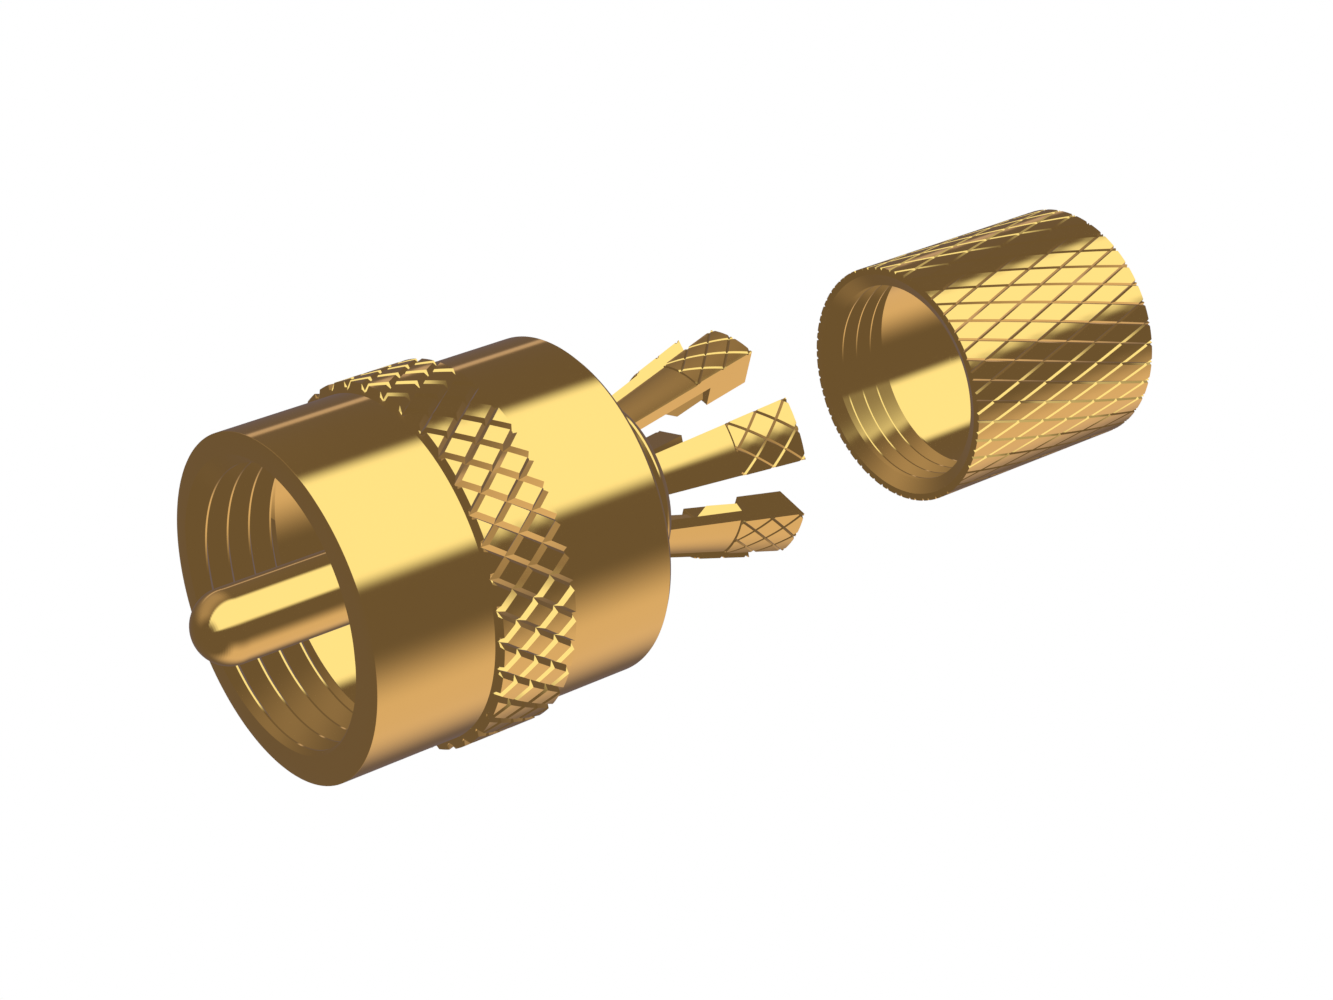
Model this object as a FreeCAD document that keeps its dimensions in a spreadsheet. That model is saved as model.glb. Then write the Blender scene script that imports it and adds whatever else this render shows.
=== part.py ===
import FreeCAD, Part

import math
import os

from FreeCAD import Placement, Rotation, Vector

import Sketcher

# A solderless coaxial plug, drawn taken apart: the plug with its coupling nut and its clamping
# fingers, and the knurled clamp sleeve standing off behind them on the same axis.
# The axis is X. The mating end points to -X and the cable leaves to +X. The origin is on the
# axis at the reference plane, where the socket's rim meets the plug's shoulder. Millimetres.

doc = FreeCAD.newDocument("coaxial_plug")
sheet = doc.addObject("Spreadsheet::Sheet", "Sizes")


class Length:
    """A number together with the spreadsheet formula that gives it."""

    def __init__(self, number, formula):
        self.number = number
        self.formula = formula

    def combine(self, other, sign, number):
        formula = other.formula if isinstance(other, Length) else repr(other)
        return Length(number, "(%s %s %s)" % (self.formula, sign, formula))

    def __add__(self, other):
        return self.combine(other, "+", self.number + plain(other))

    def __sub__(self, other):
        return self.combine(other, "-", self.number - plain(other))

    def __mul__(self, other):
        return self.combine(other, "*", self.number * plain(other))

    def __truediv__(self, other):
        return self.combine(other, "/", self.number / plain(other))


def plain(value):
    return value.number if isinstance(value, Length) else float(value)


next_row = [1]


def size(alias, number, meaning):
    """One driving dimension: a row of the sheet with its name, number and meaning."""
    row = next_row[0]
    next_row[0] = row + 1
    sheet.set("A%d" % row, alias)
    sheet.set("B%d" % row, str(number))
    sheet.set("C%d" % row, meaning)
    sheet.setAlias("B%d" % row, alias)
    return Length(float(number), "Sizes." + alias)


# Coupling nut.
nut_length = size("nut_length", 18.1, "front face to rear face")
nut_reach = size("nut_reach", 11.2, "front face ahead of the reference plane")
thread_diameter = size("thread_diameter", 15.9, "major diameter of the coupling thread")
nut_wall = size("nut_wall", 1.3, "nut's wall outside that thread")
lip_length = size("lip_length", 1.7, "rear lip that pulls on the shoulder")
band_rise = size("band_rise", 0.56, "knurled band proud of the nut's outside")
band_start = size("band_start", 6.92, "front face to the foot of the band")
band_length = size("band_length", 4.52, "foot of the band to its rear edge")
band_groove_depth = size("band_groove_depth", 0.38, "knurl groove depth on the band")
band_groove_width = size("band_groove_width", 0.38, "knurl groove width on the band")
band_rows = size("band_rows", 4, "steps from row to row of crossings along the band")

# Plug body, the turned piece that the nut runs on.
neck_step = size("neck_step", 0.8, "neck inside the nut's lip proud of the hub")
neck_tail = size("neck_tail", 1.1, "neck left behind the nut's rear face")
shoulder_wall = size("shoulder_wall", 0.35, "gap from the shoulder to the nut's bore")
spin_gap = size("spin_gap", 0.07, "radial running gap of the nut on the neck")
end_play = size("end_play", 0.1, "axial play of the nut on each side of its lip")
crown_wall = size("crown_wall", 1.08, "wall of the locating crown round the insulator")
crown_height = size("crown_height", 1.2, "locating crown ahead of the shoulder")
crown_notch = size("crown_notch", 2.4, "width of each notch in the crown")
hub_wall = size("hub_wall", 1.28, "hub's wall inside the root of its thread")
hub_length = size("hub_length", 2.2, "length of that rear thread")
hub_bevel = size("hub_bevel", 0.6, "bevel on the hub's rear rim")
web_clear = size("web_clear", 0.7, "gap from the insulator's tail to the hole in the web")
web_length = size("web_length", 0.6, "thickness of that web")

# Ring that keeps the nut on the neck.
ring_stand = size("ring_stand", 0.6, "retaining ring proud of the neck")
ring_thickness = size("ring_thickness", 0.6, "thickness of the retaining ring")
ring_groove = size("ring_groove", 0.5, "depth of its groove in the neck")
ring_gap = size("ring_gap", 24.0, "opening of the split ring in degrees")

# Insulator and centre pin.
insulator_diameter = size("insulator_diameter", 10.0, "front insulator")
insulator_length = size("insulator_length", 6.0, "reference plane to the web")
spigot_diameter = size("spigot_diameter", 4.6, "insulator's tail")
spigot_length = size("spigot_length", 2.2, "insulator's tail behind the web's front")
pin_diameter = size("pin_diameter", 3.96, "centre pin")
pin_reach = size("pin_reach", 15.7, "pin's tip ahead of the reference plane")
collar_diameter = size("collar_diameter", 5.2, "collar that locks the pin in the insulator")
collar_length = size("collar_length", 2.2, "length of that collar")
stem_diameter = size("stem_diameter", 2.4, "pin's stem behind the collar")
needle_diameter = size("needle_diameter", 1.5, "needle that enters the cable's core")
needle_length = size("needle_length", 4.6, "needle, with its point")
seat_gap = size("seat_gap", 0.02, "radial gap of each pressed or seated piece")

# Collet of six fingers.
finger_count = size("finger_count", 6, "clamping fingers")
finger_angle = size("finger_angle", 31.0, "angle that one finger covers")
collet_bore = size("collet_bore", 6.64, "bore of the collet's tube, over the stripped cable")
collet_wall = size("collet_wall", 0.78, "wall of that tube and of a finger's shank")
slot_root = size("slot_root", 0.6, "slots between fingers start this far inside the hub")
finger_length = size("finger_length", 7.9, "hub's rear face to the fingertips")
finger_flare = size("finger_flare", 0.287, "outward rise of a finger per millimetre")
tip_length = size("tip_length", 3.5, "raised end of a finger")
tip_step = size("tip_step", 0.13, "step up onto the raised end")
jaw_length = size("jaw_length", 2.48, "thick jaw inside a fingertip")
jaw_depth = size("jaw_depth", 1.19, "jaw's depth below the shank")
tooth_depth = size("tooth_depth", 1.11, "gripping tooth's depth below the shank")
tooth_width = size("tooth_width", 1.3, "gripping tooth across the finger")
tooth_length = size("tooth_length", 1.75, "flat of the gripping tooth")
tooth_ramp = size("tooth_ramp", 1.45, "ramp up to that flat")

# Clamp sleeve, standing off as the photograph shows it.
sleeve_wall = size("sleeve_wall", 0.815, "sleeve's wall, from its bore to the knurl's crests")
sleeve_length = size("sleeve_length", 13.6, "front face to rear face")
sleeve_place = size("sleeve_place", 30.2, "reference plane to its front face, taken off")
mouth_flare = size("mouth_flare", 0.28, "mouth of its bore wider than the bore, all round")
thread_depth = size("thread_depth", 0.65, "hub's thread root to the root of the sleeve's thread")
mouth_bevel = size("mouth_bevel", 0.6, "length of the bevel at the mouth")
bore_depth = size("bore_depth", 9.2, "front face to the clamping cone")
cone_length = size("cone_length", 2.4, "clamping cone that closes the fingers")
cable_bore = size("cable_bore", 7.8, "hole that the cable enters by")
cable_bevel = size("cable_bevel", 0.4, "bevel round that hole")
sleeve_groove_depth = size("sleeve_groove_depth", 0.14, "knurl groove depth on the sleeve")
sleeve_groove_width = size("sleeve_groove_width", 0.17, "knurl groove width on the sleeve")
sleeve_rows = size("sleeve_rows", 7, "steps from row to row of crossings along the sleeve")

# Knurls: how many grooves start round the rim in each direction.
knurl_starts = size("knurl_starts", 36, "grooves each way on the nut and on the sleeve")

doc.recompute()

# Places along the axis that several pieces share.
nut_front = nut_reach * -1.0
nut_rear = nut_front + nut_length
lip_front = nut_rear - lip_length
shoulder_rear = lip_front - end_play
ring_front = nut_rear + end_play
neck_end = nut_rear + neck_tail
hub_end = neck_end + hub_length
web_rear = insulator_length + web_length
tips = hub_end + finger_length

# Radii that several pieces share, from the middle outwards.
seat_radius = insulator_diameter / 2 + seat_gap
collet_inner = collet_bore / 2
collet_outer = collet_inner + collet_wall
socket_radius = collet_outer + seat_gap
hub_radius = socket_radius + hub_wall
neck_radius = hub_radius + neck_step
thread_radius = thread_diameter / 2
nut_radius = thread_radius + nut_wall
sleeve_bore = hub_radius + thread_depth
sleeve_outer = sleeve_bore + sleeve_wall

# How far a cutting shape runs past the face that it opens, or a joined one into its neighbour.
overrun = 0.5


def origin_plane(body, role):
    for feature in body.Origin.OriginFeatures:
        if feature.Role == role:
            return feature


def new_body(name):
    body = doc.addObject("PartDesign::Body", name)
    body.Label = name
    return body


def outline(body, name, points, role="XZ_Plane", arcs=()):
    """A closed sketch through points, each pair of coordinates tied to the sheet.

    An entry of arcs is (first point's number, centre): the side that starts there is a quarter
    round about that centre.
    """
    sketch = body.newObject("Sketcher::SketchObject", name)
    sketch.AttachmentSupport = [(origin_plane(body, role), "")]
    sketch.MapMode = "FlatFace"
    count = len(points)
    flat = [Vector(plain(along), plain(across), 0) for along, across in points]
    centres = dict(arcs)
    for number in range(count):
        first, last = flat[number], flat[(number + 1) % count]
        if number in centres:
            middle = Vector(plain(centres[number][0]), plain(centres[number][1]), 0)
            reach = first.sub(middle).Length
            half = (first.sub(middle) + last.sub(middle)).normalize() * reach + middle
            sketch.addGeometry(Part.Arc(first, half, last), False)
        else:
            sketch.addGeometry(Part.LineSegment(first, last), False)
    starts = []
    for number in range(count):
        starts.append(start_of(sketch, number, flat[number]))
    for number in range(count):
        following = (number + 1) % count
        end = 3 - starts[number]
        sketch.addConstraint(
            Sketcher.Constraint("Coincident", number, end, following, starts[following]))
    for number, (along, across) in enumerate(points):
        place(sketch, number, starts[number], "DistanceX", along)
        place(sketch, number, starts[number], "DistanceY", across)
    for number, centre in arcs:
        place(sketch, number, 3, "DistanceX", centre[0])
    return sketch


def start_of(sketch, number, point):
    """An arc may run either way, so find which of its ends lies on its first point."""
    for end in (1, 2):
        if sketch.getPoint(number, end).sub(point).Length < 1e-6:
            return end
    return 1


def place(sketch, number, end, direction, value):
    """Hold one coordinate of a sketch point at a value of the sheet."""
    if abs(plain(value)) < 1e-9:
        axis = -2 if direction == "DistanceX" else -1
        sketch.addConstraint(Sketcher.Constraint("PointOnObject", number, end, axis))
        return
    index = sketch.addConstraint(
        Sketcher.Constraint(direction, -1, 1, number, end, plain(value)))
    if isinstance(value, Length):
        sketch.setExpression("Constraints[%d]" % index, value.formula)


def turn(body, sketch, name, angle=360.0):
    """Revolve a half section about the plug's axis."""
    feature = body.newObject("PartDesign::Revolution", name)
    feature.Profile = sketch
    feature.ReferenceAxis = (sketch, ["H_Axis"])
    if isinstance(angle, Length):
        feature.Angle = angle.number
        feature.setExpression("Angle", angle.formula)
    else:
        feature.Angle = angle
    return feature


def turned_piece(name, points, arcs=(), angle=360.0):
    body = new_body(name)
    turn(body, outline(body, name + "_section", points, arcs=arcs), name + "_turned", angle)
    return body


def around(body, feature, name, count):
    """Repeat a feature round the axis."""
    pattern = body.newObject("PartDesign::PolarPattern", name)
    pattern.Originals = [feature]
    pattern.Axis = (origin_plane(body, "X_Axis"), [""])
    pattern.Angle = 360.0
    pattern.Occurrences = int(plain(count))
    if isinstance(count, Length):
        pattern.setExpression("Occurrences", count.formula)
    body.Tip = pattern
    return pattern


# Knurls. Two families of V grooves cross at even steps, which leaves flat-topped diamonds.

def rim_point(along, angle, radius):
    turned = math.radians(angle)
    return Vector(along, radius * math.cos(turned), radius * math.sin(turned))


def diamond_facets(centre, half, share, radius, depth):
    """The facets of one diamond: four flat groove walls, and a top folded along the axis.

    The top is the diamond between the groove bottoms, shrunk by share and lifted.
    """
    (along, angle), (long_half, wide_half) = centre, half
    foot = []
    for step, side in ((-1, 0), (0, 1), (1, 0), (0, -1)):
        x = along + step * long_half
        foot.append(rim_point(x, angle + side * wide_half, radius - depth))
    middle = rim_point(along, angle, radius - depth)
    lifted = rim_point(along, angle, radius)
    crest = [lifted + (point - middle) * share for point in foot]
    facets = [(crest[0], crest[1], crest[2]), (crest[0], crest[2], crest[3])]
    for number in range(4):
        after = (number + 1) % 4
        facets.append((foot[number], foot[after], crest[after], crest[number]))
    return facets


def keep_side(facet, limit, sign):
    """Cut a facet at the plane x = limit and keep the side that sign points to."""
    side = []
    for point in facet:
        beyond = sign * (point.x - limit)
        side.append(0.0 if abs(beyond) < 1e-9 else beyond)
    if max(side) <= 0:
        return []
    kept = []
    for number, point in enumerate(facet):
        after = (number + 1) % len(facet)
        if side[number] >= 0:
            kept.append(point)
        if side[number] * side[after] < 0:
            share = side[number] / (side[number] - side[after])
            crossing = point + (facet[after] - point) * share
            crossing.x = limit
            kept.append(crossing)
    return kept


def end_face(facets, limit):
    """The flat face that closes a knurled bar at one end, from the cut edges that lie there."""
    rim = {}
    for facet in facets:
        for number, point in enumerate(facet):
            if abs(point.x - limit) < 1e-9:
                turned = math.degrees(math.atan2(point.z, point.y)) % 360.0
                rim[round(turned, 5)] = point
    points = [rim[key] for key in sorted(rim)]
    return Part.Face(Part.makePolygon(points + [points[0]]))


def knurled_bar(front, rear, radius, depth, width, starts, rows):
    """A solid bar whose skin is a diamond knurl from front to rear, closed by two flat ends.

    The grooves cross on both ends and on evenly spaced rows between them.
    """
    column = (rear - front) / rows
    wide_half = 180.0 / starts
    run = math.radians(wide_half) * radius
    across = 2.0 * column * run / math.hypot(column, run)
    share = 1.0 - width / across
    facets = []
    for step in range(rows + 1):
        for number in range(starts):
            angle = wide_half * (2 * number + (step + 1) % 2)
            centre = (front + step * column, angle)
            for facet in diamond_facets(centre, (column, wide_half), share, radius, depth):
                facet = keep_side(facet, front, 1)
                facet = keep_side(facet, rear, -1) if facet else []
                if facet:
                    facets.append(facet)
    faces = [Part.Face(Part.makePolygon(facet + [facet[0]])) for facet in facets]
    faces.append(end_face(facets, front))
    faces.append(end_face(facets, rear))
    skin = Part.Compound(faces)
    skin.sewShape()
    solid = Part.Solid(skin.Shells[0])
    if solid.Volume < 0:
        solid.reverse()
    return solid


def number_of(alias):
    return float(sheet.get(alias))


def knurl_feature(name, front, rear, radius, knurl):
    """Set a knurled bar into the document. The knurl's sizes are read from the sheet."""
    bar = doc.addObject("Part::Feature", name)
    bar.Shape = knurled_bar(
        plain(front), plain(rear), plain(radius), number_of(knurl + "_groove_depth"),
        number_of(knurl + "_groove_width"), int(number_of("knurl_starts")),
        int(number_of(knurl + "_rows")))
    bar.Placement = Placement()
    return bar


# Coupling nut: a turned shell with a rear lip, and the knurled band fused round it.

def make_coupling_nut():
    lip = neck_radius + spin_gap
    shell = turned_piece("nut_shell", [
        (nut_front, thread_radius), (nut_front, nut_radius), (nut_rear, nut_radius),
        (nut_rear, lip), (lip_front, lip), (lip_front, thread_radius)])
    foot = nut_front + band_start
    rear = foot + band_length
    bar = knurl_feature("band_bar", foot, rear, nut_radius + band_rise, "band")
    inside_wall = nut_radius - nut_wall / 2
    core = turned_piece("band_core", [
        (foot - overrun, 0), (foot - overrun, inside_wall), (rear + overrun, inside_wall),
        (rear + overrun, 0)])
    band = doc.addObject("Part::Cut", "knurled_band")
    band.Base = bar
    band.Tool = core
    nut = doc.addObject("Part::Fuse", "coupling_nut")
    nut.Base = shell
    nut.Tool = band
    return nut


# Plug body: crown, shoulder, neck, ring groove, web and threaded hub, turned in one piece.

def make_plug_body():
    crown = seat_radius + crown_wall
    shoulder = thread_radius - shoulder_wall
    groove = neck_radius - ring_groove
    web_hole = spigot_diameter / 2 + web_clear
    groove_front = ring_front - seat_gap
    groove_rear = ring_front + ring_thickness + seat_gap
    crown_front = crown_height * -1.0
    body = turned_piece("plug_body", [
        (crown_front, seat_radius), (crown_front, crown), (0, crown), (0, shoulder),
        (shoulder_rear, shoulder), (shoulder_rear, neck_radius), (groove_front, neck_radius),
        (groove_front, groove), (groove_rear, groove), (groove_rear, neck_radius),
        (neck_end, neck_radius), (neck_end, hub_radius), (hub_end - hub_bevel, hub_radius),
        (hub_end, hub_radius - hub_bevel), (hub_end, socket_radius), (web_rear, socket_radius),
        (web_rear, web_hole), (insulator_length, web_hole), (insulator_length, seat_radius)])
    low = crown_notch / -2
    high = crown_notch / 2
    ahead = crown_front - overrun
    notch = outline(body, "crown_notch_section", [
        (ahead, low), (0, low), (0, high), (ahead, high)])
    pocket = body.newObject("PartDesign::Pocket", "crown_notches")
    pocket.Profile = notch
    pocket.Type = 1
    pocket.Midplane = True
    around(body, pocket, "crown_notches_round", 4)
    return body


# Retaining ring: a split ring that sits in the neck's groove behind the nut.

def make_retaining_ring():
    inner = neck_radius - ring_groove + seat_gap
    outer = neck_radius + ring_stand
    rear = ring_front + ring_thickness
    closed = Length(360.0 - ring_gap.number, "(360 - %s)" % ring_gap.formula)
    return turned_piece("retaining_ring", [
        (ring_front, inner), (ring_front, outer), (rear, outer), (rear, inner)], angle=closed)


# Insulator and centre pin. The pin's collar is locked in the insulator.

def make_insulator():
    collar = collar_diameter / 2 + seat_gap
    stem = stem_diameter / 2 + seat_gap
    outer = insulator_diameter / 2
    tail = insulator_length + spigot_length
    return turned_piece("insulator", [
        (0, collar), (0, outer), (insulator_length, outer),
        (insulator_length, spigot_diameter / 2), (tail, spigot_diameter / 2), (tail, stem),
        (collar_length, stem), (collar_length, collar)])


def make_center_pin():
    radius = pin_diameter / 2
    tip = pin_reach * -1.0
    nose = tip + radius
    tail = insulator_length + spigot_length
    needle = needle_diameter / 2
    point = tail + needle_length
    return turned_piece("center_pin", [
        (tip, 0), (nose, radius), (0, radius), (0, collar_diameter / 2),
        (collar_length, collar_diameter / 2), (collar_length, stem_diameter / 2),
        (tail, stem_diameter / 2), (tail, needle), (point - needle_diameter, needle),
        (point, 0)], arcs=[(0, (nose, 0))])


# Collet: a slotted tube whose six fingers flare out behind the hub. Each finger has a raised
# end, a thick jaw inside it, and a ramped gripping tooth between the jaw and the hub.

def make_collet():
    root = hub_end - slot_root
    tip_front = tips - tip_length
    jaw_front = tips - jaw_length

    def skin(x):
        return collet_outer + finger_flare * (x - hub_end)

    body = turned_piece("collet", [
        (web_rear, collet_inner), (web_rear, collet_outer), (root, collet_outer),
        (root, collet_inner)])
    section = outline(body, "finger_section", [
        (root, collet_inner), (root, collet_outer), (hub_end, collet_outer),
        (tip_front, skin(tip_front)),
        (tip_front, skin(tip_front) + tip_step), (tips, skin(tips) + tip_step),
        (tips, skin(tips) - collet_wall - jaw_depth),
        (jaw_front, skin(jaw_front) - collet_wall - jaw_depth),
        (jaw_front, skin(jaw_front) - collet_wall), (hub_end, collet_inner)])
    finger = turn(body, section, "finger", finger_angle)
    finger.Midplane = True
    around(body, finger, "fingers", finger_count)

    flat_front = jaw_front - tooth_length
    foot = flat_front - tooth_ramp
    buried = collet_wall * 0.5
    tooth_end = jaw_front + overrun
    tooth_section = outline(body, "tooth_section", [
        (foot, skin(foot) - collet_wall),
        (foot, skin(foot) - buried),
        (tooth_end, skin(tooth_end) - buried),
        (tooth_end, skin(tooth_end) - collet_wall - tooth_depth),
        (flat_front, skin(flat_front) - collet_wall - tooth_depth)])
    tooth = body.newObject("PartDesign::Pad", "tooth")
    tooth.Profile = tooth_section
    tooth.Length = tooth_width.number
    tooth.setExpression("Length", tooth_width.formula)
    tooth.Midplane = True
    around(body, tooth, "teeth", finger_count)
    return body


# Clamp sleeve: knurled all over, with a bevelled mouth, a plain bore that the thread is cut in,
# and a cone that closes the fingers onto the cable.

def make_clamp_sleeve():
    front = sleeve_place
    rear = front + sleeve_length
    hole = cable_bore / 2
    mouth = sleeve_bore + mouth_flare
    cone = front + bore_depth
    cavity = turned_piece("sleeve_cavity", [
        (front - overrun, 0), (front - overrun, mouth), (front, mouth),
        (front + mouth_bevel, sleeve_bore), (cone, sleeve_bore), (cone + cone_length, hole),
        (rear - cable_bevel, hole), (rear, hole + cable_bevel),
        (rear + overrun, hole + cable_bevel), (rear + overrun, 0)])
    bar = knurl_feature("sleeve_bar", front, rear, sleeve_outer, "sleeve")
    sleeve = doc.addObject("Part::Cut", "clamp_sleeve")
    sleeve.Base = bar
    sleeve.Tool = cavity
    return sleeve


pieces = {
    "coupling_nut": make_coupling_nut(),
    "plug_body": make_plug_body(),
    "retaining_ring": make_retaining_ring(),
    "insulator": make_insulator(),
    "center_pin": make_center_pin(),
    "collet": make_collet(),
    "clamp_sleeve": make_clamp_sleeve(),
}
doc.recompute()

for item in doc.Objects:
    if "Invalid" in item.State or "Error" in item.State:
        raise RuntimeError("%s did not build: %s" % (item.Name, item.State))

os.makedirs("parts", exist_ok=True)
for label, piece in pieces.items():
    piece.Label = label
    shape = piece.Shape
    if shape.isNull() or not shape.isValid() or len(shape.Solids) != 1:
        raise RuntimeError("%s is not one sound solid" % label)
    shape.exportStep("parts/%s.step" % label)
    print("%-16s %9.2f mm3 %5d faces" % (label, shape.Volume, len(shape.Faces)))
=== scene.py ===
import bpy
import bmesh
import math
from mathutils import Matrix, Vector


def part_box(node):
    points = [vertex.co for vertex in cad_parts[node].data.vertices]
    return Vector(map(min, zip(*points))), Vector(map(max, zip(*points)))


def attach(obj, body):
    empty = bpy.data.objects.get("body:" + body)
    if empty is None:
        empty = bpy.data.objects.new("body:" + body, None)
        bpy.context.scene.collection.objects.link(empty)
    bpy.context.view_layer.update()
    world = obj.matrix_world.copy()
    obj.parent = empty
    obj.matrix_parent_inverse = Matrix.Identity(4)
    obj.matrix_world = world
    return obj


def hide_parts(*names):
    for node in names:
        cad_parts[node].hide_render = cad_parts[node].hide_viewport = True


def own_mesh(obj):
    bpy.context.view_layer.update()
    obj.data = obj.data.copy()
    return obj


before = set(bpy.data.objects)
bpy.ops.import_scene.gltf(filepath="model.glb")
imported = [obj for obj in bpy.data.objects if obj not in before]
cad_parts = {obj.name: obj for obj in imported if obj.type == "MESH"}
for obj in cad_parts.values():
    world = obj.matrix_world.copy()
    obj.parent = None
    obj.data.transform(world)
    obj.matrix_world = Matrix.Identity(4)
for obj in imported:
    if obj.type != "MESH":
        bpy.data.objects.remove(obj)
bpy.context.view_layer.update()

MM = 0.001


def reach(node):
    """Front and rear of a CAD node along the plug's axis, in millimetres."""
    low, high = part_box(node)
    return low.x / MM, high.x / MM


# Places along the plug's axis, in millimetres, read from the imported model.
NUT_FRONT, NUT_REAR = reach("coupling_nut")
SLEEVE_FRONT, SLEEVE_REAR = reach("clamp_sleeve")
RING_FRONT, RING_REAR = reach("retaining_ring")
PIN_TIP, NEEDLE_TIP = reach("center_pin")
COLLET_FRONT, FINGER_TIPS = reach("collet")
BODY_FRONT, HUB_END = reach("plug_body")
INSULATOR_TAIL = reach("insulator")[1]

# Sizes in millimetres, the same as in the solids.
NUT_RADIUS = 9.25
THREAD_RADIUS = 7.95
LIP_LENGTH = 1.7
LIP_RADIUS = 6.27
BAND_RADIUS = 9.81
BAND_START = 6.92
BAND_LENGTH = 4.52
BAND_LEAN = 0.17
NECK_RADIUS = 6.2
GROOVE_DEPTH = 0.5
SHOULDER_RADIUS = 7.6
SHOULDER_REAR = 5.1
CROWN_RADIUS = 6.1
CROWN_NOTCH = 2.4
SEAT_RADIUS = 5.02
HUB_RADIUS = 5.4
HUB_LENGTH = 2.2
HUB_BEVEL = 0.6
COLLET_RADIUS = 4.1
COLLET_WALL = 0.78
FINGER_FLARE = 0.287
FINGER_ANGLE = 31.0
FINGERS = 6
TIP_LENGTH = 3.5
TIP_STEP = 0.13
JAW_LENGTH = 2.48
JAW_DEPTH = 1.19
TOOTH_DEPTH = 1.11
TOOTH_WIDTH = 1.3
TOOTH_LENGTH = 1.75
TOOTH_RAMP = 1.45
SLEEVE_RADIUS = 6.865
SLEEVE_BORE = 6.05
BORE_DEPTH = 9.2
CONE_LENGTH = 2.4
CABLE_RADIUS = 3.9
CABLE_BEVEL = 0.4
KNURL_STARTS = 36
TIP_STARTS = 24
FIT = 0.02

# Fineness of the meshes.
SMOOTH_TURN = 192
ROUND_STEPS = 3
ROUND_SHARE = 0.4
EDGE_ROUND = 0.02
SHARP_ANGLE = 25.0
WELD = 2e-4
SKIN_WELD = 1e-4
SLIVER = 1e-5


# Mesh helpers. All of them work in millimetres about the X axis.


def ring_point(x, angle, radius):
    return Vector((x, radius * math.cos(angle), radius * math.sin(angle)))


def softened(profile, rounding, closed=False):
    """The same outline with each corner replaced by a small round.

    A round takes at most ROUND_SHARE of the edges beside it.
    """
    soft = []
    count = len(profile)
    for i, corner in enumerate(profile):
        if not closed and i in (0, count - 1):
            soft.append(corner)
            continue
        here = Vector(corner)
        back = Vector(profile[i - 1]) - here
        ahead = Vector(profile[(i + 1) % count]) - here
        size = min(rounding, ROUND_SHARE * back.length, ROUND_SHARE * ahead.length)
        start = here + back.normalized() * size
        end = here + ahead.normalized() * size
        for step in range(ROUND_STEPS + 1):
            t = step / ROUND_STEPS
            soft.append(tuple(start * (1 - t) ** 2 + here * 2 * t * (1 - t) + end * t * t))
    return soft


def add_turned(mesh, profile, rounding=EDGE_ROUND, closed=False, start=0.0, sweep=360.0):
    """Turn an outline of (x, radius) points round the axis into the mesh."""
    outline = softened(profile, rounding, closed)
    full = sweep >= 360.0
    steps = max(4, int(SMOOTH_TURN * sweep / 360.0))
    columns = []
    for j in range(steps if full else steps + 1):
        angle = math.radians(start + sweep * j / steps)
        columns.append([mesh.verts.new(ring_point(x, angle, r)) for x, r in outline])
    rows = len(outline)
    for j in range(steps):
        left, right = columns[j], columns[(j + 1) % len(columns)]
        for i in range(rows if closed else rows - 1):
            k = (i + 1) % rows
            mesh.faces.new((left[i], left[k], right[k], right[i]))
    if closed and not full:
        mesh.faces.new(columns[0])
        mesh.faces.new(columns[-1])


def add_thread(mesh, root, crest, pitch, span, first, ends, flat=0.08):
    """A right-handed V thread round the axis, cut off square at both ends of its span.

    first is a root's place along the axis at angle zero, and flat is the crest's share of the
    pitch. A flat wall closes each end of the thread to the radius that ends gives there.
    """
    front, rear = span
    steps = SMOOTH_TURN
    turns = int((rear - front) / pitch) + 3
    section = ((0.0, root), (0.5 - flat / 2, crest), (0.5 + flat / 2, crest))
    begin = first - pitch * 2
    skin = bmesh.new()
    columns = []
    for n in range(turns * steps + 1):
        angle = 2 * math.pi * n / steps
        columns.append([skin.verts.new(ring_point(begin + pitch * (n / steps + share), angle, r))
                        for share, r in section])
    last = len(section) - 1
    for n in range(turns * steps):
        for i in range(last):
            skin.faces.new((columns[n][i], columns[n][i + 1],
                            columns[n + 1][i + 1], columns[n + 1][i]))
        if n + steps + 1 < len(columns):
            skin.faces.new((columns[n][last], columns[n + steps][0],
                            columns[n + steps + 1][0], columns[n + 1][last]))
    cut_between(skin, front, rear)
    for x, radius in zip(span, ends):
        add_end_wall(skin, x, radius)
    join(mesh, skin)


def everything(mesh):
    return list(mesh.verts) + list(mesh.edges) + list(mesh.faces)


def cut_between(mesh, front, rear):
    """Keep what lies between two planes across the axis."""
    for x, keep_above in ((front, True), (rear, False)):
        bmesh.ops.bisect_plane(mesh, geom=everything(mesh), plane_co=(x, 0, 0),
                               plane_no=(1, 0, 0), clear_inner=keep_above,
                               clear_outer=not keep_above)


def knurl_patch(steps, top, depth):
    """Heights over one diamond: a V groove along each side, half of it in this diamond."""
    low = (1 - top) / 2
    marks = [0.0, low]
    middle = [low + (1 - 2 * low) * i / steps for i in range(1, steps)]
    marks = marks + middle + [1 - m for m in reversed(marks)]
    heights = {}
    for i, p in enumerate(marks):
        for j, q in enumerate(marks):
            edge = min(p, 1 - p, q, 1 - q) / low
            heights[(i, j)] = (p, q, -depth * (1 - min(1.0, edge)))
    return marks, heights


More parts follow.
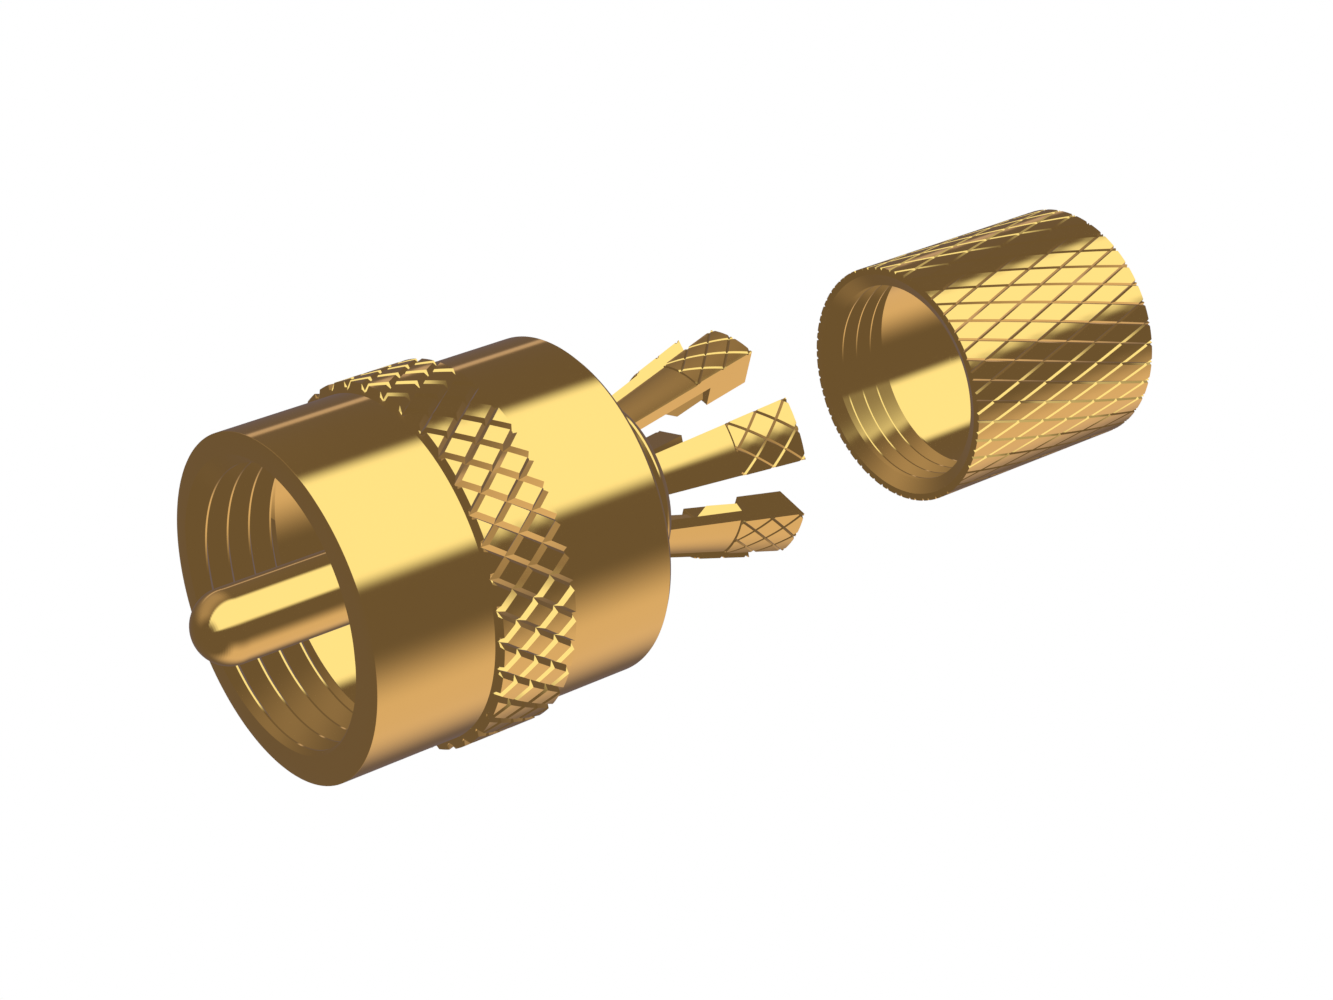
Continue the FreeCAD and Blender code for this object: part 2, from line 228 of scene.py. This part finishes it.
def add_knurl(mesh, front, rear, radius_at, depth, width, starts, column, first, steps=4,
              sector=None, shape=None):
    """The skin of a crossed knurl between two planes.

    column is the spacing of the diamonds' centres along the axis, and first is the place of one of
    them. sector keeps the diamonds within an angle of another, and shape may change the skin.
    """
    half_angle = math.pi / starts
    run = half_angle * radius_at((front + rear) / 2)
    across = 2 * column * run / math.hypot(column, run)
    marks, heights = knurl_patch(steps, 1 - width / across, depth)
    skin = bmesh.new()
    begin = math.floor((front - first) / column) - 1
    finish = math.ceil((rear - first) / column) + 1
    for number in range(begin, finish + 1):
        for start in range(starts):
            centre = half_angle * (2 * start + (number + 1) % 2)
            if sector and abs((centre - sector[0] + math.pi) % (2 * math.pi) - math.pi) > sector[1]:
                continue
            grid = {}
            for key, (p, q, drop) in heights.items():
                x = first + number * column + (p + q - 1) * column
                angle = centre + (p - q) * half_angle
                grid[key] = skin.verts.new(ring_point(x, angle, radius_at(x) + drop))
            last = len(marks) - 2
            for i in range(last + 1):
                for j in range(last + 1):
                    a, b = grid[(i, j)], grid[(i, j + 1)]
                    c, d = grid[(i + 1, j + 1)], grid[(i + 1, j)]
                    if i in (0, last) and j in (0, last):
                        if (i == 0) != (j == 0):
                            a, b, c, d = b, c, d, a
                        skin.faces.new((a, b, c))
                        skin.faces.new((a, c, d))
                    else:
                        skin.faces.new((a, b, c, d))
    bmesh.ops.remove_doubles(skin, verts=skin.verts, dist=SKIN_WELD)
    cut_between(skin, front, rear)
    if shape:
        shape(skin)
    join(mesh, skin)


def join(mesh, other):
    """Copy one mesh's faces into another."""
    copied = {v: mesh.verts.new(v.co) for v in other.verts}
    for face in other.faces:
        mesh.faces.new([copied[v] for v in face.verts])
    other.free()


def add_end_wall(mesh, x, radius):
    """A flat ring from the mesh's open edge at x to a circle of the given radius."""
    rim = [e for e in mesh.edges
           if e.is_boundary and all(abs(v.co.x - x) < SKIN_WELD for v in e.verts)]
    inner = {}
    for edge in rim:
        for vert in edge.verts:
            if vert not in inner:
                angle = math.atan2(vert.co.z, vert.co.y)
                inner[vert] = mesh.verts.new(ring_point(x, angle, radius))
    for edge in rim:
        a, b = edge.verts
        mesh.faces.new((a, b, inner[b], inner[a]))


def finished(mesh, name, sharp=SHARP_ANGLE):
    """Turn a mesh in millimetres into an object in metres with clean normals."""
    bmesh.ops.remove_doubles(mesh, verts=mesh.verts, dist=WELD)
    bmesh.ops.dissolve_degenerate(mesh, edges=mesh.edges, dist=SLIVER)
    bmesh.ops.recalc_face_normals(mesh, faces=mesh.faces)
    bmesh.ops.scale(mesh, vec=(MM, MM, MM), verts=mesh.verts)
    data = bpy.data.meshes.new(name)
    mesh.to_mesh(data)
    mesh.free()
    data.shade_smooth()
    data.set_sharp_from_angle(angle=math.radians(sharp))
    piece = bpy.data.objects.new(name, data)
    bpy.context.scene.collection.objects.link(piece)
    even = piece.modifiers.new("even_normals", "WEIGHTED_NORMAL")
    even.keep_sharp = True
    return piece


def settle(piece, body, material, slot_name, *nodes):
    """Give a piece its material and body, and hide its CAD nodes.

    The metal shows its surroundings alone: pieces don't appear in one another. The slot name is not
    used.
    """
    piece.data.materials.append(material)
    piece.visible_glossy = False
    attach(piece, body)
    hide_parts(*nodes)


# Materials.


def new_material(name):
    material = bpy.data.materials.new(name)
    material.use_nodes = True
    nodes = material.node_tree.nodes
    return material, nodes, material.node_tree.links, nodes["Principled BSDF"]


def gold_material(name, roughness):
    """Polished gold plating: faint turning marks round the axis and a slight haze."""
    material, nodes, links, shader = new_material(name)
    shader.inputs["Base Color"].default_value = (1.0, 0.76, 0.23, 1)
    shader.inputs["Metallic"].default_value = 1.0
    where = nodes.new("ShaderNodeTexCoord")
    stretch = nodes.new("ShaderNodeMapping")
    stretch.inputs["Scale"].default_value = (9000, 60, 60)
    marks = nodes.new("ShaderNodeTexNoise")
    marks.inputs["Scale"].default_value = 1.0
    marks.inputs["Detail"].default_value = 3.0
    haze = nodes.new("ShaderNodeMapRange")
    haze.inputs["To Min"].default_value = roughness * 0.7
    haze.inputs["To Max"].default_value = roughness * 1.3
    bump = nodes.new("ShaderNodeBump")
    bump.inputs["Strength"].default_value = 0.06
    bump.inputs["Distance"].default_value = 0.000004
    links.new(where.outputs["Object"], stretch.inputs["Vector"])
    links.new(stretch.outputs["Vector"], marks.inputs["Vector"])
    links.new(marks.outputs["Fac"], haze.inputs["Value"])
    links.new(haze.outputs["Result"], shader.inputs["Roughness"])
    links.new(marks.outputs["Fac"], bump.inputs["Height"])
    links.new(bump.outputs["Normal"], shader.inputs["Normal"])
    return material


def plastic_material(name):
    """Pale moulded insulator with a faint grain."""
    material, nodes, links, shader = new_material(name)
    grain = nodes.new("ShaderNodeTexNoise")
    grain.inputs["Scale"].default_value = 1500.0
    tint = nodes.new("ShaderNodeMix")
    tint.data_type = "RGBA"
    tint.inputs["A"].default_value = (0.80, 0.79, 0.74, 1)
    tint.inputs["B"].default_value = (0.88, 0.87, 0.82, 1)
    bump = nodes.new("ShaderNodeBump")
    bump.inputs["Strength"].default_value = 0.1
    bump.inputs["Distance"].default_value = 0.00002
    where = nodes.new("ShaderNodeTexCoord")
    links.new(where.outputs["Object"], grain.inputs["Vector"])
    links.new(grain.outputs["Fac"], tint.inputs["Factor"])
    links.new(tint.outputs["Result"], shader.inputs["Base Color"])
    links.new(grain.outputs["Fac"], bump.inputs["Height"])
    links.new(bump.outputs["Normal"], shader.inputs["Normal"])
    shader.inputs["Roughness"].default_value = 0.45
    return material


gold = gold_material("gold_plate", 0.07)
ring_gold = gold_material("gold_spring", 0.16)
plastic = plastic_material("insulator_plastic")


# Coupling nut.


def lean_front(skin):
    """The band's front face is a short cone that starts flush with the barrel."""
    foot = NUT_FRONT + BAND_START
    for share in (0.5, 1.0):
        bmesh.ops.bisect_plane(skin, geom=everything(skin),
                               plane_co=(foot + BAND_LEAN * share, 0, 0), plane_no=(1, 0, 0))
    for vert in skin.verts:
        share = (vert.co.x - foot) / BAND_LEAN
        if share < 1.0:
            limit = NUT_RADIUS + (BAND_RADIUS - NUT_RADIUS) * max(0.0, share)
            radius = math.hypot(vert.co.y, vert.co.z)
            vert.co.yz = vert.co.yz * min(1.0, limit / radius)


NUT_THREAD_PITCH = 1.285
NUT_THREAD_CREST = 7.42
NUT_THREAD_ROOT = 8.42
NUT_THREAD_END = 5.1
NUT_THREAD_FIRST = -0.03
NUT_FACE_RIM = 8.5
NUT_SHARP_ANGLE = 15.0
REAR_BEVEL = 0.3
BAND_EDGE = 0.01
BAND_KNURL_DEPTH = 0.38
BAND_KNURL_WIDTH = 0.38
BAND_KNURL_COLUMN = 1.134
BAND_KNURL_FIRST = 0.04
nut = bmesh.new()
thread_rear = NUT_FRONT + NUT_THREAD_END
band_front = NUT_FRONT + BAND_START
band_rear = band_front + BAND_LENGTH
lip_front = NUT_REAR - LIP_LENGTH
add_turned(nut, [(NUT_FRONT, NUT_FACE_RIM), (NUT_FRONT, NUT_RADIUS),
                 (band_front - BAND_EDGE, NUT_RADIUS), (band_front, NUT_RADIUS)])
add_turned(nut, [(band_rear, NUT_RADIUS), (band_rear + BAND_EDGE, NUT_RADIUS),
                 (NUT_REAR - REAR_BEVEL, NUT_RADIUS), (NUT_REAR, NUT_RADIUS - REAR_BEVEL),
                 (NUT_REAR, LIP_RADIUS), (lip_front, LIP_RADIUS), (lip_front, THREAD_RADIUS),
                 (thread_rear, THREAD_RADIUS)])
add_knurl(nut, band_front, band_rear, lambda x: BAND_RADIUS, BAND_KNURL_DEPTH,
          BAND_KNURL_WIDTH, KNURL_STARTS, BAND_KNURL_COLUMN, band_front + BAND_KNURL_FIRST,
          shape=lean_front)
add_end_wall(nut, band_rear, NUT_RADIUS)
add_thread(nut, NUT_THREAD_ROOT, NUT_THREAD_CREST, NUT_THREAD_PITCH, (NUT_FRONT, thread_rear),
           NUT_FRONT + NUT_THREAD_FIRST, (NUT_FACE_RIM, THREAD_RADIUS))
settle(finished(nut, "nut_dressed", NUT_SHARP_ANGLE), "nut", gold, "gold_plate", "coupling_nut")


# Plug body with its threaded hub.

HUB_THREAD_PITCH = 1.06
HUB_THREAD_ROOT = 4.95
HUB_THREAD_CREST = 5.68
HUB_THREAD_FIRST = 0.4
HUB_THREAD_START = 0.2
HUB_THREAD_STOP = 0.25
CROWN_OVERLAP = 0.05
hub_front = HUB_END - HUB_LENGTH
hub_thread_front = hub_front + HUB_THREAD_START
hub_thread_end = HUB_END - HUB_BEVEL - HUB_THREAD_STOP
groove_radius = NECK_RADIUS - GROOVE_DEPTH
body = bmesh.new()
add_turned(body, [(0, SEAT_RADIUS), (0, SHOULDER_RADIUS), (SHOULDER_REAR, SHOULDER_RADIUS),
                  (SHOULDER_REAR, NECK_RADIUS), (RING_FRONT, NECK_RADIUS),
                  (RING_FRONT, groove_radius), (RING_REAR, groove_radius),
                  (RING_REAR, NECK_RADIUS), (hub_front, NECK_RADIUS), (hub_front, HUB_RADIUS),
                  (hub_thread_front, HUB_RADIUS)])
add_turned(body, [(hub_thread_end, HUB_RADIUS), (HUB_END - HUB_BEVEL, HUB_RADIUS),
                  (HUB_END, HUB_RADIUS - HUB_BEVEL),
                  (HUB_END, COLLET_RADIUS + FIT), (COLLET_FRONT, COLLET_RADIUS + FIT)])
add_thread(body, HUB_THREAD_ROOT, HUB_THREAD_CREST, HUB_THREAD_PITCH,
           (hub_thread_front, hub_thread_end), hub_front + HUB_THREAD_FIRST,
           (HUB_RADIUS, HUB_RADIUS))
notch_half = math.degrees(math.asin(CROWN_NOTCH / 2 / CROWN_RADIUS))
for quarter in range(4):
    add_turned(body, [(CROWN_OVERLAP, SEAT_RADIUS), (BODY_FRONT, SEAT_RADIUS),
                      (BODY_FRONT, CROWN_RADIUS), (CROWN_OVERLAP, CROWN_RADIUS)], closed=True,
               start=90 * quarter + notch_half, sweep=90 - 2 * notch_half)
settle(finished(body, "body_dressed"), "plug", gold, "gold_plate", "plug_body")


# Retaining ring, insulator and pin.

RING_RADIUS = 6.8
RING_GAP = 24.0
RING_ROUND = 0.12
ring_bore = NECK_RADIUS - (GROOVE_DEPTH - FIT)
ring = bmesh.new()
add_turned(ring, [(RING_FRONT, ring_bore), (RING_FRONT, RING_RADIUS), (RING_REAR, RING_RADIUS),
                  (RING_REAR, ring_bore)], RING_ROUND, closed=True, sweep=360 - RING_GAP)
settle(finished(ring, "ring_dressed"), "plug", ring_gold, "ring_steel", "retaining_ring")

PIN_RADIUS = 1.98
COLLAR_RADIUS = 2.6
COLLAR_LENGTH = 2.2
STEM_RADIUS = 1.2
NEEDLE_RADIUS = 0.75
SPIGOT_RADIUS = 2.3
INSULATOR_RADIUS = 5.0
INSULATOR_LENGTH = 6.0
INSULATOR_ROUND = 0.12
inset = bmesh.new()
add_turned(inset, [(0, COLLAR_RADIUS + FIT), (0, INSULATOR_RADIUS),
                   (INSULATOR_LENGTH, INSULATOR_RADIUS), (INSULATOR_LENGTH, SPIGOT_RADIUS),
                   (INSULATOR_TAIL, SPIGOT_RADIUS), (INSULATOR_TAIL, STEM_RADIUS + FIT),
                   (COLLAR_LENGTH, STEM_RADIUS + FIT), (COLLAR_LENGTH, COLLAR_RADIUS + FIT)],
           INSULATOR_ROUND, closed=True)
settle(finished(inset, "insulator_dressed"), "plug", plastic, "insulator", "insulator")

NOSE_STEPS = 24
PIN_ROUND = 0.03
nose = [(PIN_TIP + PIN_RADIUS * (1 - math.cos(a)), PIN_RADIUS * math.sin(a))
        for a in (math.pi / 2 * i / NOSE_STEPS for i in range(NOSE_STEPS))]
pin = bmesh.new()
add_turned(pin, nose + [(PIN_TIP + PIN_RADIUS, PIN_RADIUS), (0, PIN_RADIUS), (0, COLLAR_RADIUS),
                        (COLLAR_LENGTH, COLLAR_RADIUS), (COLLAR_LENGTH, STEM_RADIUS),
                        (INSULATOR_TAIL, STEM_RADIUS), (INSULATOR_TAIL, NEEDLE_RADIUS),
                        (NEEDLE_TIP - 2 * NEEDLE_RADIUS, NEEDLE_RADIUS), (NEEDLE_TIP, 0)],
           PIN_ROUND)
settle(finished(pin, "pin_dressed"), "plug", gold, "gold_plate", "center_pin")


# Collet: the tube inside the hub, and six fingers.

SLOT_ROOT = 0.6
TIP_RECESS = 0.12
TIP_KNURL_DEPTH = 0.1
TIP_KNURL_WIDTH = 0.15
TIP_KNURL_COLUMN = 0.81
TIP_KNURL_FIRST = 0.09
TIP_SECTOR = 32.0
TOOTH_OVERLAP = 0.5
finger_root = HUB_END - SLOT_ROOT
tip_front = FINGER_TIPS - TIP_LENGTH
jaw_front = FINGER_TIPS - JAW_LENGTH


def finger_skin(x):
    return COLLET_RADIUS + FINGER_FLARE * (x - HUB_END)


def knurled_skin(x):
    return finger_skin(x) + TIP_STEP


def finger_mesh():
    """One finger about the angle zero, with its knurled end, its jaw and its tooth."""
    finger = bmesh.new()
    add_turned(finger, [
        (finger_root, COLLET_RADIUS - COLLET_WALL), (finger_root, COLLET_RADIUS),
        (HUB_END, COLLET_RADIUS), (tip_front, finger_skin(tip_front)),
        (tip_front, knurled_skin(tip_front) - TIP_RECESS),
        (FINGER_TIPS, knurled_skin(FINGER_TIPS) - TIP_RECESS),
        (FINGER_TIPS, finger_skin(FINGER_TIPS) - COLLET_WALL - JAW_DEPTH),
        (jaw_front, finger_skin(jaw_front) - COLLET_WALL - JAW_DEPTH),
        (jaw_front, finger_skin(jaw_front) - COLLET_WALL),
        (HUB_END, COLLET_RADIUS - COLLET_WALL)], closed=True, start=-FINGER_ANGLE / 2,
        sweep=FINGER_ANGLE)
    flat_front = jaw_front - TOOTH_LENGTH
    foot = flat_front - TOOTH_RAMP
    heel = jaw_front + TOOTH_OVERLAP
    side = [(foot, finger_skin(foot) - COLLET_WALL), (foot, finger_skin(foot) - COLLET_WALL / 2),
            (heel, finger_skin(heel) - COLLET_WALL / 2),
            (heel, finger_skin(heel) - COLLET_WALL - TOOTH_DEPTH),
            (flat_front, finger_skin(flat_front) - COLLET_WALL - TOOTH_DEPTH)]
    walls = []
    for edge in (-1, 1):
        walls.append([finger.verts.new((x, r, edge * TOOTH_WIDTH / 2)) for x, r in side])
    finger.faces.new(walls[0])
    finger.faces.new(walls[1])
    for i in range(len(side)):
        k = (i + 1) % len(side)
        finger.faces.new((walls[0][i], walls[0][k], walls[1][k], walls[1][i]))

    def trim(skin):
        """Cut the knurl to the finger's width, and close its rim down to the turned finger."""
        for edge in (-1, 1):
            angle = math.radians(edge * FINGER_ANGLE / 2)
            normal = Vector((0, -math.sin(angle), math.cos(angle))) * edge
            bmesh.ops.bisect_plane(skin, geom=everything(skin), plane_co=(0, 0, 0),
                                   plane_no=normal, clear_outer=True)
        rim = [e for e in skin.edges if e.is_boundary]
        made = bmesh.ops.extrude_edge_only(skin, edges=rim)
        for vert in made["geom"]:
            if isinstance(vert, bmesh.types.BMVert):
                floor = knurled_skin(vert.co.x) - TIP_RECESS
                vert.co.yz = vert.co.yz * (floor / math.hypot(vert.co.y, vert.co.z))

    add_knurl(finger, tip_front, FINGER_TIPS, knurled_skin, TIP_KNURL_DEPTH, TIP_KNURL_WIDTH,
              TIP_STARTS, TIP_KNURL_COLUMN, tip_front + TIP_KNURL_FIRST, steps=3,
              sector=(0.0, math.radians(TIP_SECTOR)), shape=trim)
    return finger


collet = bmesh.new()
add_turned(collet, [(COLLET_FRONT, COLLET_RADIUS - COLLET_WALL), (COLLET_FRONT, COLLET_RADIUS),
                    (finger_root, COLLET_RADIUS), (finger_root, COLLET_RADIUS - COLLET_WALL)],
           closed=True)
settle(finished(collet, "collet_tube"), "plug", gold, "gold_plate", "collet")
one_finger = finished(finger_mesh(), "finger_1")
for number in range(FINGERS):
    finger = one_finger
    turned = Matrix.Rotation(math.radians(360 / FINGERS * (number + 0.5)), 4, "X")
    if number < FINGERS - 1:
        finger = one_finger.copy()
        finger.data = one_finger.data.copy()
        finger.name = "finger_%d" % (number + 2)
        bpy.context.scene.collection.objects.link(finger)
    finger.data.transform(turned)
    settle(finger, "plug", gold, "gold_plate", "collet")
    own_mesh(finger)


# Clamp sleeve.

SLEEVE_THREAD_PITCH = 1.06
SLEEVE_THREAD_CREST = 5.72
SLEEVE_THREAD_ROOT = 6.42
SLEEVE_THREAD_END = 4.1
SLEEVE_THREAD_FIRST = 0.5
SLEEVE_RIM = 6.45
SLEEVE_MOUTH = 0.45
SLEEVE_KNURL_DEPTH = 0.14
SLEEVE_KNURL_WIDTH = 0.17
SLEEVE_KNURL_COLUMN = 2.006
SLEEVE_KNURL_FIRST = 1.2
BORE_ROUND = 0.05
sleeve = bmesh.new()
add_knurl(sleeve, SLEEVE_FRONT, SLEEVE_REAR, lambda x: SLEEVE_RADIUS, SLEEVE_KNURL_DEPTH,
          SLEEVE_KNURL_WIDTH, KNURL_STARTS, SLEEVE_KNURL_COLUMN, SLEEVE_FRONT + SLEEVE_KNURL_FIRST)
add_end_wall(sleeve, SLEEVE_FRONT, SLEEVE_RIM)
add_end_wall(sleeve, SLEEVE_REAR, CABLE_RADIUS + CABLE_BEVEL)
thread_front = SLEEVE_FRONT + SLEEVE_MOUTH
thread_rear = SLEEVE_FRONT + SLEEVE_THREAD_END
add_turned(sleeve, [(SLEEVE_FRONT, SLEEVE_RIM), (thread_front, SLEEVE_THREAD_CREST)], 0)
add_thread(sleeve, SLEEVE_THREAD_ROOT, SLEEVE_THREAD_CREST, SLEEVE_THREAD_PITCH,
           (thread_front, thread_rear), SLEEVE_FRONT + SLEEVE_THREAD_FIRST,
           (SLEEVE_THREAD_CREST, SLEEVE_BORE))
add_turned(sleeve, [(thread_rear, SLEEVE_BORE), (SLEEVE_FRONT + BORE_DEPTH, SLEEVE_BORE),
                    (SLEEVE_FRONT + BORE_DEPTH + CONE_LENGTH, CABLE_RADIUS),
                    (SLEEVE_REAR - CABLE_BEVEL, CABLE_RADIUS),
                    (SLEEVE_REAR, CABLE_RADIUS + CABLE_BEVEL)], BORE_ROUND)
settle(finished(sleeve, "sleeve_dressed"), "sleeve", gold, "gold_plate", "clamp_sleeve")


# Studio. Dim warm surroundings close round the plug, with a few large soft boxes in them, as for
# polished metal. A soft box's place is an angle round the axis, from level towards the far side
# over the top, and a lean from square to the axis towards the cable's end. Only reflections show
# the surroundings: the camera and diffuse light meet the white world and floor instead.

BALL_RADIUS = 2.0
BALL_STEP = 2
LEAN_EDGE = 30.0
WHITE = (1.0, 1.0, 1.0)
WARM = (1.0, 0.74, 0.75)
SURROUNDINGS = 0.15
SOFT_BOXES = [
    {"angle": 112, "half": 32, "edge": 12, "lean": 0, "reach": 50, "strength": 0.9, "tint": WHITE},
    {"angle": 245, "half": 10, "edge": 45, "lean": 20, "reach": 30, "strength": 0.55, "tint": WARM},
    {"angle": 40, "half": 5, "edge": 45, "lean": -20, "reach": 20, "strength": 0.25, "tint": WARM},
    {"angle": 14, "half": 1, "edge": 4, "lean": 30, "reach": 15, "strength": 0.4, "tint": WARM},
]


def plain_object(mesh, name, material):
    data = bpy.data.meshes.new(name)
    mesh.to_mesh(data)
    mesh.free()
    data.materials.append(material)
    thing = bpy.data.objects.new(name, data)
    bpy.context.scene.collection.objects.link(thing)
    return thing


def glow_material(name, attribute=None):
    """White light of strength 1, or light of the colour that a mesh attribute gives."""
    material = bpy.data.materials.new(name)
    material.use_nodes = True
    material.cycles.emission_sampling = "NONE"
    nodes = material.node_tree.nodes
    links = material.node_tree.links
    nodes.clear()
    glow = nodes.new("ShaderNodeEmission")
    glow.inputs["Strength"].default_value = 1.0
    if attribute:
        colour = nodes.new("ShaderNodeAttribute")
        colour.attribute_name = attribute
        links.new(colour.outputs["Color"], glow.inputs["Color"])
    out = nodes.new("ShaderNodeOutputMaterial")
    links.new(glow.outputs["Emission"], out.inputs["Surface"])
    return material


def inside(apart, half, edge):
    """1 within half of a soft box's centre, 0 past its edge, and smooth between."""
    share = min(1.0, max(0.0, (half + edge - apart) / edge))
    return share * share * (3 - 2 * share)


def studio_light(lean, angle):
    """The light that comes from one direction: the surroundings and the soft boxes there."""
    light = Vector(WARM) * SURROUNDINGS
    for box in SOFT_BOXES:
        apart = abs((angle - box["angle"] + 180) % 360 - 180)
        level = inside(apart, box["half"], box["edge"])
        level *= inside(abs(lean - box["lean"]), box["reach"], LEAN_EDGE)
        light += Vector(box["tint"]) * level * box["strength"]
    return light


ball = bmesh.new()
glow_layer = ball.verts.layers.float_color.new("glow")
columns = []
for angle in range(0, 361, BALL_STEP):
    column = []
    for lean in range(-90, 91, BALL_STEP):
        along = math.sin(math.radians(lean)) * BALL_RADIUS
        across = math.cos(math.radians(lean)) * BALL_RADIUS
        vert = ball.verts.new(ring_point(along, math.radians(angle), across))
        vert[glow_layer] = (*studio_light(lean, angle), 1.0)
        column.append(vert)
    columns.append(column)
for left, right in zip(columns, columns[1:]):
    for i in range(len(left) - 1):
        ball.faces.new((left[i], left[i + 1], right[i + 1], right[i]))
ball_piece = plain_object(ball, "light_ball", glow_material("ball_light", "glow"))
ball_piece.visible_camera = False
ball_piece.visible_diffuse = False
ball_piece.visible_shadow = False

FLOOR_DROP = 0.45
FLOOR_HALF = 20.0
floor_mesh = bmesh.new()
corners = [(-1, -1), (1, -1), (1, 1), (-1, 1)]
floor_mesh.faces.new([floor_mesh.verts.new((a * FLOOR_HALF, b * FLOOR_HALF, -FLOOR_DROP))
                      for a, b in corners])
floor_piece = plain_object(floor_mesh, "floor", glow_material("floor_white"))
floor_piece.visible_glossy = False

world = bpy.data.worlds.new("studio")
world.use_nodes = True
world.node_tree.nodes["Background"].inputs["Color"].default_value = (1, 1, 1, 1)
world.node_tree.nodes["Background"].inputs["Strength"].default_value = 1.0
bpy.context.scene.world = world


# Camera at the photograph's place.

CAMERA_PLACE = Vector((-0.08135, -0.12052, 0.07933))
CAMERA_LOOK = Vector((0.5471, 0.6940, -0.4681))
camera_data = bpy.data.cameras.new("camera")
camera_data.lens = 86.58
camera_data.sensor_width = 36.0
camera_data.clip_start = 0.005
camera_data.clip_end = 60.0
camera = bpy.data.objects.new("camera", camera_data)
camera.location = CAMERA_PLACE
camera.rotation_mode = "QUATERNION"
camera.rotation_quaternion = CAMERA_LOOK.to_track_quat("-Z", "Y")
bpy.context.scene.collection.objects.link(camera)
bpy.context.scene.camera = camera
bpy.context.scene.view_settings.view_transform = "Standard"
